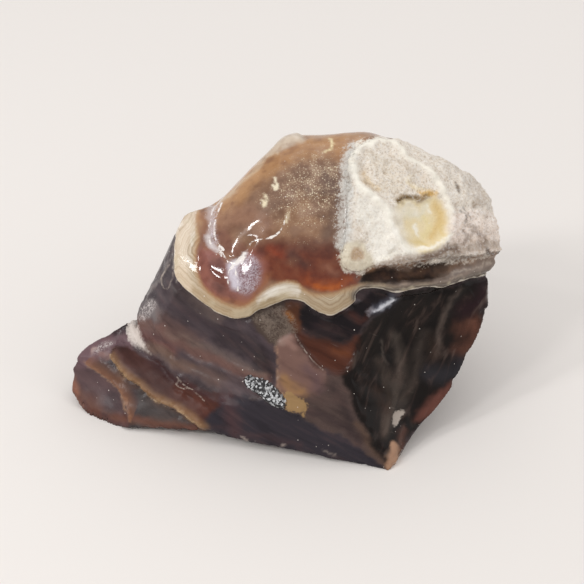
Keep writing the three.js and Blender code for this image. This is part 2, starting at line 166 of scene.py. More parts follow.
# Soft washes of colour: what they follow, how far past it in mm, how soft in mm, colour, strength and
# roughness. A wash follows a named outline or line, or a line of its own.
BODY_WASHES = (
    ("front face", 0.3, 1.2, "#4b4044", 1, 0.24),
    ("178,292 194,304 216,318", 1.2, 2.4, "#675954", 0.8, 0.24),
    ("160,318 178,330 200,342", 1.0, 2.2, "#5d4640", 0.7, 0.24),
    # a painted grey reflection on the face's upper left
    ("147,300 152,309 152,318", 1.0, 2.4, "#827a79", 0.7, 0.4),
    # a painted light-brown highlight running down from the neck patch along the edge
    ("148,347 160,352 172,362", 0.6, 2, "#7d6a61", 0.7, 0.32),
    ("225,336 252,350 266,368 262,380", 1.6, 3, "#251d1f", 0.85, 0.16),
    ("176,290 192,312 225,332 250,345", 1.4, 3, "#382e33", 0.8, 0.2),
    ("140,322 170,336 205,355 262,380", 1.1, 1.6, "#6d4f47", 0.8, 0.26),
    ("138,332 150,340 172,350", 1.0, 2, "#7a4f46", 0.6, 0.26),
    ("168,334 200,344 238,362 262,376", 0.5, 1.8, "#77675e", 0.5, 0.3),
    ("152,347 180,362 225,383", 0.9, 1.6, "#6a5348", 0.8, 0.28),
    ("200,372 220,380 250,386", 1.2, 2, "#554544", 0.6, 0.26),
    ("205,340 225,352 245,365", 0.5, 1.2, "#5d4f4e", 0.5, 0.26),
    ("sliver", 0.3, 1, "#4a4246", 1, 0.25),
    ("sliver line", 0.15, 0.5, "#a59c98", 0.45, 0.3),
    ("188,214 180,231 175,250 173,264 177,280", 0.12, 0.4, "#cbc2b6", 0.55, 0.3),
    ("back face", 0, 1, "#32272b", 0.9, 0.16),
    ("foot tip", 0.2, 1, "#513f41", 1, 0.3),
    ("72,372 90,380 104,388", 1.2, 2.6, "#5e4a4b", 0.7, 0.32),
    ("74,392 88,396 98,402", 1.0, 2.6, "#61423a", 0.8, 0.35),
    # a painted reddish glow of light through the foot's thin left edge
    ("75,384 79,394 82,404", 0.5, 1.4, "#8a6353", 0.7, 0.35),
    ("88,408 104,414 124,420", 0.9, 2.4, "#633b2e", 0.85, 0.35),
    ("116,396 118,406 112,412", 1, 2, "#443a3d", 0.6, 0.22),
    # more painted glow along the foot's left edge
    ("72,376 76,390 84,404", 0.4, 1.2, "#94604c", 0.6, 0.3),
    ("foot cut", 0.2, 1, "#484140", 1, 0.28),
    ("132,420 160,424 205,430", 0.8, 1.6, "#6b4438", 0.8, 0.26),
    ("150,400 165,410 178,416", 0.8, 1.6, "#554a48", 0.6, 0.26),
    ("84,356 100,349 124,344", 2.2, 1.6, "#6f565b", 0.9, 0.3),
    ("94,353 97,351", 0.5, 0.8, "#b09690", 0.7, 0.3),
    ("103,356 108,358", 0.5, 0.9, "#a08078", 0.6, 0.3),
    ("115,350 119,356 119,363", 0.4, 0.8, "#a98d86", 0.6, 0.3),
    ("tongue", 0.1, 0.8, "#3f211c", 1, 0.4),
    ("182,392 200,404 214,416", 1.6, 4, "#5d3429", 0.75, 0.3),
    ("150,362 175,378 210,396", 0.6, 2, "#3f2a2e", 0.7, 0.3),
    ("115,352 122,364 135,374", 0.6, 1.4, "#5f4441", 0.6, 0.34),
    # a painted glow of light through the thin arrises of the tongue and the foot, brightest on the arrises
    ("120,372 140,385 165,402 195,418", 0.4, 2.4, "#85624a", 0.7, 0.34),
    ("tongue arris", 0.1, 0.5, "#dfbf96", 0.8, 0.4),
    ("foot arris", 0.1, 0.5, "#b28c6d", 0.7, 0.35),
    ("276,348 282,340 290,334 296,333", 0.12, 0.4, "#b9a293", 0.7, 0.35),
    ("225,400 236,416 240,428", 1.4, 2, "#43333a", 0.7, 0.24),
    ("228,386 244,392 250,402", 1.2, 1.8, "#55474a", 0.8, 0.5),
    ("belly", 0.1, 1.4, "#312c33", 1, 0.45),
    ("228,406 236,432", 1.0, 3, "#4d3335", 0.7, 0.24),
    ("212,428 260,438 300,446", 0.4, 1.6, "#4c383a", 0.6, 0.24),
    ("252,397 285,404 312,420 345,436", 0.2, 0.8, "#5b4f4d", 0.7, 0.3),
    ("243,438 247,440", 0.2, 0.4, "#b9aaa0", 0.7, 0.5),
    ("281,445 286,446", 0.15, 0.4, "#b9aaa0", 0.6, 0.5),
    ("322,451 336,455", 0.12, 0.4, "#a2958c", 0.6, 0.5),
    ("frosted nook", 0.2, 1, "#493c35", 1, 0.4),
    ("262,318 272,322 268,328", 0.4, 0.8, "#786a60", 0.6, 0.4),
    ("284,318 290,328 286,334", 0.5, 1.6, "#6d5d52", 0.6, 0.4),
    ("amber chip", 0, 1.6, "#553322", 1, 0.2),
    ("287,314 292,318", 0.4, 0.8, "#8f5a2a", 0.7, 0.2),
    ("lower face", 0.2, 0.8, "#4f403c", 1, 0.28),
    ("330,385 342,405 352,425", 0.8, 2.4, "#302627", 0.75, 0.26),
    ("310,396 330,400 340,392", 0.8, 2.4, "#503f3b", 0.6, 0.28),
    ("305,410 332,420 362,442", 0.5, 1.6, "#35292b", 0.7, 0.24),
    ("357,424 366,436 382,460", 0.6, 1.8, "#594539", 0.8, 0.28),
    ("scoop", 0.2, 1, "#17110f", 1, 0.22),
    ("flake", -0.2, 1.0, "#73574f", 1, 0.32),
    ("310,396 322,388 328,380", 0.5, 2.4, "#55433f", 0.8, 0.3),
    ("283,378 292,388 302,392", 0.9, 1.8, "#94704c", 0.85, 0.35),
    ("306,368 316,378 318,386", 0.9, 1.8, "#5a464a", 0.6, 0.3),
    ("282,345 290,340", 0.6, 1, "#9c8378", 0.6, 0.35),
    ("288,341 295,347", 0.7, 1.4, "#927268", 0.65, 0.32),
    ("277,348 279,360 277,372 276,382 284,394 297,402", 0.12, 0.5, "#a5826a", 0.7, 0.35),
    ("rust flake", 0, 1.6, "#4e2a1e", 1, 0.2),
    ("334,350 348,352", 0.7, 2.2, "#6d3d24", 0.7, 0.2),
    ("318,340 342,345", 0.4, 1.8, "#3a2019", 0.7, 0.2),
    ("black facet", 0, 1.2, "#1a1417", 1, 0.12),
    ("316,330 334,334", 0.8, 2, "#2d2124", 0.7, 0.16),
    ("350,312 362,322 368,312", 0.5, 1.4, "#3c201b", 0.8, 0.12),
    # painted highlight: pale bluish streaks and glints on the black facet under the rim
    ("374,312 384,303 394,296", 0.7, 1.4, "#565763", 0.7, 0.12),
    ("374,312 382,305 393,297", 0.3, 0.45, "#dfe1e8", 0.9, 0.12),
    ("378,311 384,307 391,305", 0.1, 0.5, "#9da0ac", 0.6, 0.12),
    ("345,311 352,304 358,300", 0.2, 0.8, "#8b8288", 0.5, 0.2),
    ("368,317 372,310 366,312", 0.3, 0.8, "#a8a3a8", 0.5, 0.15),
    ("370,345 374,372 370,398", 1.4, 2.4, "#150f0d", 0.85, 0.2),
    ("401,320 399,343", 0.9, 1.6, "#150f0d", 0.85, 0.2),
    ("393,335 399,362 396,395 388,432", 0.6, 2.6, "#4f453e", 0.8, 0.35),
    ("382,372 388,400 384,436", 0.5, 2, "#40342c", 0.6, 0.3),
    ("378,360 392,384 400,400", 0.5, 2.4, "#4a3f38", 0.6, 0.3),
    ("418,314 412,332", 1.4, 2.0, "#17110e", 0.9, 0.25),
    ("406,350 402,382", 0.4, 1.8, "#443a34", 0.6, 0.3),
    ("424,336 414,372 402,405", 0.7, 2.6, "#453b35", 0.7, 0.3),
    ("380,342 386,366", 0.15, 0.7, "#6f645c", 0.4, 0.3),
    ("430,338 434,356", 0.8, 2.2, "#2f231c", 0.7, 0.25),
    ("376,392 384,410", 0.8, 2.0, "#35261f", 0.7, 0.25),
    # a painted reddish glow of light through the thin right edge
    ("462,330 474,326 476,338 462,352", 1.2, 4, "#5c3a2e", 0.85, 0.28),
    ("476,322 478,334", 0.8, 2.4, "#694234", 0.7, 0.28),
    ("462,288 449,304 442,320 437,342", 0.3, 1.4, "#5d514a", 0.7, 0.28),
    ("484,290 478,304 462,312", 1.4, 3, "#28161a", 0.85, 0.2),
    ("430,374 450,374 460,364", 1.6, 3, "#2b292d", 0.85, 0.22),
    ("405,432 402,450", 0.6, 2, "#5d3d33", 0.7, 0.3),
    ("right lobe", -0.2, 1.8, "#643d34", 0.9, 0.25),
    ("tab", -0.1, 0.8, "#a8836a", 0.95, 0.35),
)

CAP_WASHES = (
    ("212,212 232,195 255,174 285,152 345,140", 3.2, 4, "#b28456", 0.95, 0.24),
    ("268,160 300,150 340,146", 1.2, 4, "#996a3c", 0.85, 0.26),
    ("350,136 372,134 384,138", 0.6, 1.6, "#a88160", 0.8, 0.35),
    # a painted highlight along the cap's upper-left edge
    ("212,209 222,200 236,188 251,173 267,158 276,151", 0.35, 0.6, "#cdb597", 0.6, 0.25),
    ("250,222 262,205 290,185 325,175 340,205", 3.4, 4, "#755540", 0.9, 0.3),
    ("326,175 336,200 330,236", 1.2, 3, "#5f4940", 0.7, 0.36),
    ("312,190 320,214", 0.8, 2.4, "#674e42", 0.6, 0.36),
    ("225,222 245,215 262,225", 2.2, 3, "#8a634d", 0.85, 0.26),
    ("222,236 232,250 240,250", 1.4, 2, "#74493a", 0.9, 0.2),
    ("262,252 300,252 335,256 352,266", 2.2, 3.4, "#5e2614", 0.95, 0.1),
    ("305,258 322,266 345,272", 1.2, 2.4, "#6c2f16", 0.85, 0.1),
    ("273,252 281,258", 0.9, 2.2, "#8a3413", 0.9, 0.12),
    ("262,262 280,268 300,276", 1.6, 2.6, "#602612", 0.9, 0.1),
    ("266,276 276,272", 0.5, 1.6, "#99592b", 0.8, 0.14),
    ("256,264 285,273 320,279 352,276", 2.0, 1.6, "#6e2f14", 1, 0.1),
    ("300,266 318,271 340,274", 1.0, 2.2, "#622812", 0.95, 0.1),
    ("304,280 318,284 338,284 350,281", 0.7, 2.2, "#883a08", 0.95, 0.12),
    ("316,286 326,288 340,286", 0.6, 1.0, "#a8500a", 0.9, 0.14),
    ("290,256 306,264", 0.8, 2.4, "#47241c", 0.75, 0.14),
    ("338,254 352,268", 0.6, 2, "#8f5336", 0.6, 0.2),
    ("326,267 337,274", 0.5, 1.6, "#8a5a45", 0.7, 0.2),
    ("300,245 335,243", 0.8, 3, "#65473b", 0.6, 0.3),
    ("bulb", 0.3, 2, "#8a5145", 0.95, 0.09),
    ("206,256 214,262 222,276", 0.8, 2.4, "#8a5650", 0.7, 0.08),
    ("206,290 222,300 244,303 258,291 268,276", 0.3, 1.8, "#945a30", 0.85, 0.12),
    ("219,266 223,286", 1.3, 2.4, "#5e3028", 0.85, 0.08),
    # lilac crystals with a painted reflection over them
    ("sheen", -0.3, 2.4, "#836a73", 0.85, 0.2),
    ("205,210 204,230 207,246", 0.8, 1.4, "#7d4c33", 0.8, 0.14),
    ("212,208 210,225 212,242", 0.7, 0.8, "#b3a2a0", 0.75, 0.25),
    ("209,238 212,246 217,250", 0.5, 0.7, "#d9d2d2", 0.8, 0.3),
    ("236,246 241,236 249,229 259,222", 0.15, 0.6, "#b79f92", 0.55, 0.2),
    # a painted bluish-white reflection, and a painted highlight where the star's arms meet
    ("231,264 233,274 237,284", 0.8, 1.0, "#cfc9d4", 0.85, 0.12),
    ("235,262 240,260 244,254", 0.4, 0.7, "#f4f1f2", 0.95, 0.2),
    ("368,284 400,284 440,280 470,272 494,264", 1.4, 1.6, "#756860", 0.95, 0.5),
    ("dark band", 0.0, 1.0, "#221712", 1, 0.6),
    ("376,277 400,275 430,271", 0.3, 1.2, "#43312a", 0.8, 0.6),
    ("376,267 396,267 416,266", 0.4, 1.0, "#6f5d53", 0.7, 0.6),
    ("466,268 476,266 492,260", 0.8, 1.8, "#84756b", 0.9, 0.6),
    ("438,271 452,266 464,262", 0.7, 3.2, "#4d3f37", 0.9, 0.6),
    ("446,266 468,262 494,256", 0.15, 0.4, "#b9aa9c", 0.7, 0.6),
    ("450,275 470,269 492,263", 0.12, 0.4, "#c2b4a6", 0.6, 0.6),
    ("372,286 400,286 436,283 462,276", 0.15, 0.5, "#a39384", 0.8, 0.5),
    ("border fuzz", 0.7, 1.8, "#b3aaa2", 0.85, 0.5),
    ("322,190 330,210 326,236", 0.8, 2.4, "#5f4739", 0.6, 0.36),
    ("306,178 312,196", 0.5, 1.8, "#664c3b", 0.5, 0.36),
    ("274,178 277,183 276,188 272,186", 0.3, 0.4, "#f3e8cc", 0.95, 0.3),
    ("264,196 268,198 266,203 262,200", 0.25, 0.4, "#efe2c2", 0.9, 0.3),
    ("288,213 286,219", 0.3, 0.5, "#efe2c2", 0.8, 0.3),
    ("330,137 331,146 322,151", 0.2, 0.5, "#f4e6b6", 0.9, 0.3),
    ("pale lump", -0.1, 1.0, "#c9b8a4", 0.95, 0.6),
    ("282,136 290,134 298,137", 0.2, 0.8, "#dccfc0", 0.8, 0.6),
)

RIND_WASHES = (
    ("174,264 178,244 184,222 196,208 206,212", 2.6, 2.6, "#d5c3ae", 0.95, 0.14),
    ("176,262 182,280 194,294", 1.6, 2.4, "#dccab3", 0.95, 0.16),
    ("188,224 183,244 184,262", 0.8, 1.0, "#e3d4c1", 0.85, 0.12),
    ("200,210 200,240 199,262", 0.4, 1.4, "#a7784f", 0.75, 0.14),
    ("197,210 194,226 192,246", 0.15, 0.4, "#f3ece2", 0.85, 0.3),
    ("181,222 176,238 172,256", 0.12, 0.4, "#f3ece2", 0.8, 0.3),
    # a painted highlight on the rind's left side
    ("186,258 190,262 193,268", 0.4, 0.8, "#efe7dc", 0.6, 0.1),
    ("196,292 212,306 232,314 250,312", 0.9, 1.4, "#b39c7c", 0.9, 0.3),
    ("250,312 262,306 280,300 300,300", 0.5, 1.2, "#ab9878", 0.8, 0.3),
    ("306,304 320,311 334,311 350,302", 1.2, 1.6, "#b19d82", 0.9, 0.3),
    ("356,296 366,290 386,291 410,289 440,287 470,277 489,271", 1.2, 1.4, "#524740", 0.95, 0.4),
    ("lens", 0.1, 0.6, "#dbd2c4", 1, 0.28),
    ("262,298 272,291 284,287", 0.25, 0.8, "#f5f0e7", 0.85, 0.3),
)

CRUST_WASHES = (
    ("345,146 343,165 343,190 343,215 340,244", 1.7, 1.2, "#d3d0ca", 0.9, 0.85),
    ("356,150 356,180 362,200 360,225", 0.35, 0.8, "#efebe2", 0.8, 0.85),
    ("372,170 385,164 400,176 412,188", 2.0, 3.0, "#efe5d8", 0.9, 0.92),
    ("376,160 392,172 400,188 384,186", 1.2, 2.0, "#e6dac9", 0.8, 0.92),
    ("366,150 378,158 390,160", 0.8, 1.6, "#dcd2c4", 0.7, 0.9),
    ("chalk white", 0.2, 1.6, "#f6f1e7", 0.95, 0.7),
    ("ridge left", 0.5, 1.0, "#fdf8ec", 0.95, 0.5),
    ("ridge right", 0.4, 0.9, "#faf4e7", 0.95, 0.5),
    ("378,252 388,240 396,228", 1.0, 1.6, "#fffaf0", 0.9, 0.6),
    ("436,248 448,240 458,232", 0.7, 1.2, "#f4f1ec", 0.85, 0.7),
    ("363,172 368,182 378,190", 0.5, 1.4, "#e3c9a0", 0.7, 0.85),
    ("412,180 426,190", 0.5, 1.4, "#ecd9ae", 0.6, 0.85),
    ("glassy", -0.1, 1.4, "#ecdbb3", 0.95, 0.22),
    ("396,212 402,226 410,242", 0.9, 2.0, "#f1e8d6", 0.85, 0.35),
    ("408,212 420,214 424,206", 0.7, 1.8, "#e9e3d0", 0.8, 0.25),
    ("436,206 440,220 432,236", 0.8, 2.0, "#dcbd80", 0.85, 0.18),
    ("410,240 424,245", 0.5, 1.6, "#dcc282", 0.7, 0.2),
    ("402,212 410,206 416,212", 0.5, 1.0, "#f3ecdd", 0.8, 0.3),
    ("424,216 430,226 426,236", 0.4, 1.2, "#e9d9a8", 0.8, 0.2),
    ("440,222 443,234", 0.3, 0.8, "#e3c98f", 0.8, 0.2),
    # painted white highlights in the glassy hollow
    ("418,226 420,234", 0.3, 0.5, "#fbf6ea", 0.9, 0.2),
    ("426,205 430,212", 0.2, 0.5, "#fbf6ea", 0.8, 0.2),
    ("408,210 414,208", 0.3, 0.8, "#f4ead2", 0.7, 0.3),
    ("363,152 361,168 368,184 382,198", 0.15, 0.6, "#bfae9b", 0.6, 0.9),
    ("394,155 408,170 424,184 438,197", 0.15, 0.6, "#c6b7a4", 0.5, 0.9),
    ("456,205 454,220 456,240", 0.25, 0.8, "#b5a699", 0.7, 0.9),
    ("stain", 0, 0.8, "#8a6e42", 0.9, 0.9),
    ("398,203 412,198", 0.2, 0.4, "#4b391c", 0.8, 0.9),
    ("422,192 434,195", 0.5, 1.0, "#e0b872", 0.8, 0.85),
    ("pink block", 0, 1.6, "#f1e3d9", 0.9, 0.85),
    ("450,160 470,178 488,205", 2.2, 3, "#ded5ca", 0.85, 0.9),
    ("430,160 446,172 452,190", 0.8, 2, "#e3dace", 0.7, 0.9),
    ("470,186 480,200", 0.8, 1.4, "#d1c6bb", 0.7, 0.9),
    ("458,240 470,247 488,243", 0.7, 2.4, "#c9b5a8", 0.7, 0.85),
    ("corner lobe", 0.1, 0.8, "#dfd4be", 0.95, 0.6),
    ("corner spot", -0.1, 0.9, "#b6987a", 0.85, 0.7),
    # the crust's lower wall under its overhang: brown-grey layers darkened by painted shade, with a white rim
    # along its top
    ("382,266 404,260 424,256 446,250 470,248 500,243", 0.8, 1.0, "#bfb0a3", 0.9, 0.8),
    ("380,272 396,268 424,262 450,259 475,257 500,254", 0.4, 0.8, "#716155", 0.85, 0.8),
    ("372,259 398,254 422,248 440,243 452,236", 0.2, 0.4, "#fbf6ea", 1, 0.7),
    ("424,255 438,254 457,251", 0.7, 1.0, "#806d60", 0.9, 0.8),
    ("398,261 430,255 454,251", 0.12, 0.4, "#6b5c50", 0.6, 0.85),
    ("446,246 452,258", 0.1, 0.4, "#6f6259", 0.6, 0.85),
    ("456,262 478,258 496,254", 0.15, 0.5, "#c9bbae", 0.6, 0.85),
    ("478,234 482,240 480,247", 0.5, 0.9, "#978579", 0.7, 0.85),
    ("468,224 474,230 470,240", 0.35, 0.9, "#a8988c", 0.7, 0.85),
    ("452,214 466,211 484,208 494,213", 0.3, 0.6, "#eee6dc", 0.7, 0.85),
    ("457,188 459,192", 0.15, 0.4, "#8a7d70", 0.8, 0.9),
    ("463,208 470,220", 0.12, 0.4, "#7b6f64", 0.8, 0.9),
    ("484,250 488,254", 0.35, 0.5, "#5d4e45", 0.85, 0.9),
    ("460,212 464,217 463,221", 0.2, 0.4, "#6b5d52", 0.85, 0.9),
    ("456,186 458,191", 0.3, 0.5, "#7d7065", 0.85, 0.9),
    ("474,216 486,214 492,224", 0.5, 1.0, "#f0e5dc", 0.7, 0.85),
    ("462,230 468,236 466,243", 0.25, 0.6, "#8d7b70", 0.7, 0.85),
)


# ---- measuring the stone's surface -------------------------------------------------------------------

# How far a part of the skin that the front view doesn't see is taken to be from anything drawn, in mm.
FAR_OFF = 6

# The thickness of the stone where a look into it meets no other side, in mm.
THICK = 60.0

# How the edges of the washes wander: the size of the lumps in mm, their two seeds and their octaves, and
# how far they push, in units of the front view.
WANDERING = ((3.2, (11, 12), 3, 3.4), (0.9, (13, 14), 2, 1.4))


def smooth(low, high, value):
    """From nothing at low to one at high, without a kink at either end."""
    t = np.clip((value - low) / (high - low), 0, 1)
    return t * t * (3 - 2 * t)


def drawn(text, closed):
    """A drawn line or outline as points, with a soft curve run through them."""
    points = np.array([[float(n) for n in pair.split(",")] for pair in text.split()])
    if len(points) < 3:
        return points
    if closed:
        ring = np.vstack([points[-1:], points, points[:2]])
    else:
        ring = np.vstack([2 * points[:1] - points[1:2], points, 2 * points[-1:] - points[-2:-1]])
    curve = []
    for a, b, c, d in zip(ring, ring[1:], ring[2:], ring[3:]):
        bend, twist = 2 * a - 5 * b + 4 * c - d, 3 * b - a - 3 * c + d
        curve += [b + 0.5 * ((c - a) * t + bend * t**2 + twist * t**3) for t in (0.0, 0.25, 0.5, 0.75)]
    curve.append(ring[-2])
    return np.array(curve)


def near(points, line, reach):
    """The points no further than reach from the box round a line."""
    low, high = line.min(0) - reach, line.max(0) + reach
    return np.nonzero(((points > low) & (points < high)).all(1))[0]


def distance_to(points, line, reach):
    """How far each point is from a line of straight pieces, up to reach."""
    nearest = np.full(len(points), float(reach))
    close = near(points, line, reach)
    x, y = points[close].T
    best = np.full(len(close), float(reach) ** 2)
    for (ax, ay), (bx, by) in zip(line, line[1:]):
        run_x, run_y = bx - ax, by - ay
        t = np.clip(((x - ax) * run_x + (y - ay) * run_y) / max(run_x**2 + run_y**2, 1e-12), 0, 1)
        best = np.minimum(best, (x - ax - t * run_x) ** 2 + (y - ay - t * run_y) ** 2)
    nearest[close] = np.sqrt(best)
    return nearest


def depth_inside(points, outline, reach):
    """How far each point is inside an outline, and below zero outside it, up to reach."""
    sign = np.full(len(points), -1.0)
    close = near(points, outline, 0)
    inside = np.zeros(len(close), bool)
    x, y = points[close].T
    for (ax, ay), (bx, by) in zip(outline, np.roll(outline, -1, axis=0)):
        if ay != by:
            inside ^= ((ay > y) != (by > y)) & (x < ax + (y - ay) / (by - ay) * (bx - ax))
    sign[close[inside]] = 1.0
    return sign * distance_to(points, np.vstack([outline, outline[:1]]), reach)


def read(items, what, columns, kind=float):
    """What each of a mesh's items holds, as rows of numbers."""
    values = np.empty(len(items) * columns, kind)
    items.foreach_get(what, values)
    return values.reshape(-1, columns)


class Surface:
    """The stone's skin, point by point: its places, its normals and how it lies in the front view."""

    def __init__(self, mesh):
        self.co = read(mesh.vertices, "co", 3)
        self.mm = self.co / MM
        self.normal = read(mesh.vertices, "normal", 3)
        self.edges = read(mesh.edges, "vertices", 2, int)
        self.tree = BVHTree.FromPolygons(
            [tuple(c) for c in self.co], [tuple(p.vertices) for p in mesh.polygons]
        )
        q = self.co - EYE
        depth = q @ AHEAD
        half = VIEW_WIDTH / 2
        self.view = np.stack([half + FOCAL * (q @ RIGHT) / depth, half - FOCAL * (q @ UP) / depth], 1)
        self.front = self.seen_from_front()
        self.wandering = self.view.copy()
        for size, seeds, octaves, reach in WANDERING:
            self.wandering += np.stack([self.grain(size, seed, octaves) for seed in seeds], 1) * reach

    def spread(self, values, rounds, widest=False):
        """Values blurred over their neighbours, or grown out to them."""
        a, b = self.edges.T
        count = np.bincount(a, minlength=len(values)) + np.bincount(b, minlength=len(values))
        for _ in range(rounds):
            if widest:
                grown = values.copy()
                np.maximum.at(grown, a, values[b])
                np.maximum.at(grown, b, values[a])
                values = grown
            else:
                total = np.bincount(a, values[b], len(values)) + np.bincount(b, values[a], len(values))
                values = 0.5 * values + 0.5 * total / np.maximum(count, 1)
        return values

    def seen_from_front(self):
        """One where the front view sees the skin, falling to nothing round the back."""
        towards = EYE - self.co
        towards /= np.linalg.norm(towards, axis=1)[:, None]
        seen = np.zeros(len(self.co))
        for i in np.nonzero((towards * self.normal).sum(1) > 0.03)[0]:
            start = Vector(self.co[i] + self.normal[i] * 0.35 * MM)
            if self.tree.ray_cast(start, Vector(towards[i]))[0] is None:
                seen[i] = 1.0
        return self.spread(self.spread(seen, 4, widest=True), 6)

    def thickness(self):
        """How far the stone goes on behind each point, in mm."""
        depth = np.empty(len(self.co))
        for i, (point, normal) in enumerate(zip(self.co, self.normal)):
            hit = self.tree.ray_cast(Vector(point - normal * 0.05 * MM), Vector(-normal))
            depth[i] = hit[3] / MM if hit[3] else THICK
        return self.spread(depth, 3)

    def grain(self, size, seed, octaves=3):
        """Even noise around nothing, with lumps of the given size in mm."""
        places = self.mm / size + np.array([seed * 7.3, seed * 3.1, seed * 5.7])
        return np.array([noise.fractal(p, 1.0, 2.0, octaves) for p in places.tolist()])

    def inside(self, name):
        """How far inside a drawn outline, in mm, for what the front view sees."""
        depth = depth_inside(self.view, drawn(OUTLINES[name], True), FAR_OFF * UNITS_PER_MM) / UNITS_PER_MM
        return self.front * depth - (1 - self.front) * FAR_OFF

    def beside(self, name):
        """How far from a drawn line, in mm, for what the front view sees."""
        away = distance_to(self.view, drawn(LINES[name], False), FAR_OFF * UNITS_PER_MM) / UNITS_PER_MM
        return self.front * away + (1 - self.front) * FAR_OFF

    def washed(self, base, roughness, washes):
        """The colour and roughness at each point, after every wash."""
        colour = np.tile(np.array(base), (len(self.co), 1))
        rough = np.full(len(self.co), roughness)
        for path, past, soft, hex_colour, strength, new_rough in washes:
            reach = (past + soft + 0.5) * UNITS_PER_MM
            if path in OUTLINES:
                away = -depth_inside(self.wandering, drawn(OUTLINES[path], True), reach)
            else:
                away = distance_to(self.wandering, drawn(LINES.get(path, path), False), reach)
            away = away / UNITS_PER_MM - past
            cover = strength * (1 - smooth(-soft / 2, soft / 2, away)) * self.front
            colour += cover[:, None] * (np.array(linear(hex_colour)) - colour)
            rough += cover * (new_rough - rough)
        return colour, rough


# ---- the stone ---------------------------------------------------------------------------------------

# Edges of the CAD shape that turn more than this are arrises, and stay.
ARRIS = math.radians(21)

# How the rest is rubbed smooth: points at least this far from an arris, in mm, and how many rounds.
RUBBING = ((0.0, 1), (0.35, 6), (0.8, 8), (1.6, 14))

# Where arrises are rubbed away as well: the glassy hollow, the back of the dome and the bulb, each by
# its middle and how far it reaches, in mm.
SOFTENED = (((24.4, -4.4, 38.4), 8), ((12, 18, 40), 17), ((-10, -9.5, 32.5), 6))

# Places where the skin stands a little further out or in: where, how wide and how far, in mm.
SWELLINGS = (
    ((-36, -12, 2), 4.5, 1.6),
    ((-40, -2, 3), 4.0, 0.8),
    ((34, 6, 41), 6.0, 0.7),
    ((27, 7, 44), 5.0, 0.6),
    ((40, 3, 33), 4.0, -0.5),
    ((37, 0, 18), 7.0, 0.7),
    ((32, -6, 8), 6.0, 0.5),
    ((6, 8, 49), 6.0, -0.6),
    ((40, 1, 29.5), 2.5, -0.9),
    ((-26, 4, 16), 4.0, 0.5),
    ((-28, 4, 12.5), 2.5, 0.9),
    ((24, -20, 4), 4.0, -0.5),
)

# Flakes and patches with a crisp, frayed step round them: the outline, how far it stands out and how
# wide the step is, in mm.
STEPS = (
    ("flake", 0.45, 0.7),
    ("rust flake", -0.25, 0.8),
    ("amber chip", 0.2, 0.6),
    ("black facet", 0.1, 0.6),
    ("druse", 0.1, 0.4),
    ("straw patch", 0.25, 0.5),
    ("frosted nook", 0.15, 0.6),
    ("neck patch", 0.3, 0.5),
    ("tab", 0.35, 0.8),
    ("right lobe", 0.3, 1.2),
    ("white chip", -0.2, 0.4),
)

# Humps and hollows that rise or fall gently from their outline, in the same measures.
HUMPS = (
    ("lens", -0.2, 0.8),
    ("bulb", 0.55, 3.2),
    ("pale lump", 0.5, 1.2),
    ("plateau", -0.4, 0.8),
    ("glassy", -0.35, 1.0),
    ("stain", -0.45, 0.5),
    ("corner lobe", 0.6, 1.6),
    ("corner spot", -0.35, 0.9),
    ("pink block", 0.45, 1.2),
    ("band", -0.25, 0.6),
)

# Patches with a grain of their own: the outline, how wide its edge is, the grain's height and size in mm,
# its seed and its octaves.
GRAINY = (
    ("black facet", 1.0, 0.25, 2.6, 8, 1),
    ("druse", 0.4, 0.22, 0.8, 9, 2),
    ("frosted nook", 0.6, 0.12, 1.0, 10, 2),
)

# Ridges along drawn lines, and grooves where they go down: the line, how high and how wide, in mm.
RIDGES = (
    ("facet ledge", 0.45, 0.45),
    ("scoop line", 0.3, 0.6),
    ("flake arris", 0.25, 0.35),
    ("belly arris", 0.2, 0.5),
    ("sliver line", 0.2, 0.35),
    ("under line", 0.18, 0.35),
    ("foot arris", 0.15, 0.4),
    ("tongue arris", 0.15, 0.4),
    ("frost groove", -0.4, 0.55),
    ("gold vein", -0.03, 0.4),
    ("star", -0.03, 0.4),
    ("step right", -0.35, 0.5),
)

# The crust's raised lips, in the same measures.
LIPS = (("ridge left", 1.35, 1.0), ("ridge right", 1.1, 0.9), ("wall top", 0.6, 0.7))

# Where ripples spread from: on the scoop, in the front view, and on the back, in mm along X and Z.
FAN = (470, 250)
SHELL = (6, 34)

# Where something fades in, from its first number to its second, rightwards or down the front view.
LEDGES_GROW = (196, 230)
BANDING_FADES = (236, 200)
RIBS_FADE = (272, 250)
AMBER_FADES = (350, 372)
CRUST_COARSENS = (440, 470)
LIPS_GROW = (139, 156)

# The ribs over the cap's left end: the middle and the half-width of their stretch in the front view.
RIBS = (192, 11)

# Soft spots in the front view: their middle, and how wide and high they are.
FOOT_BUMPS = (103, 352, 18, 9)
FROSTED = ((300, 205, 43.481, 35.576), (322, 170, 31.623, 27.67))

# The cap's lower edge over the floor, in mm: at the front, and from front to back round the left end.
FRONT_EDGE = 28.7
LEFT_EDGE = (
    (-8, 28.4), (-4, 29.3), (-2, 30.7), (0, 32.1), (2, 32.8), (4, 32.5), (6, 31.4), (10, 29.7), (14, 28.9),
)

# The crust's border, in mm to the right and up along the front view. It closes far outside the stone.
CRUST_BORDER = (
    "13.0,43.4 11.2,41.6 10.5,37.8 10.3,32.6 10.1,27.3 9.4,23 10.3,20.7 13.1,20.2 14.7,21.4 "
    "21.3,21.5 27.6,22.1 32.7,22.6 39.1,23.6 60,24 60,60 20,60 18.8,45.8 16.2,44.6"
)

# Where the crust's border crosses the back, in mm along X and Z, and how far it leans for each mm up.
BACK_BORDER = (15, 29)
BACK_LEAN = 0.5

# How far light gets into the stone before it is lost, in mm.
GLOW = 4.5


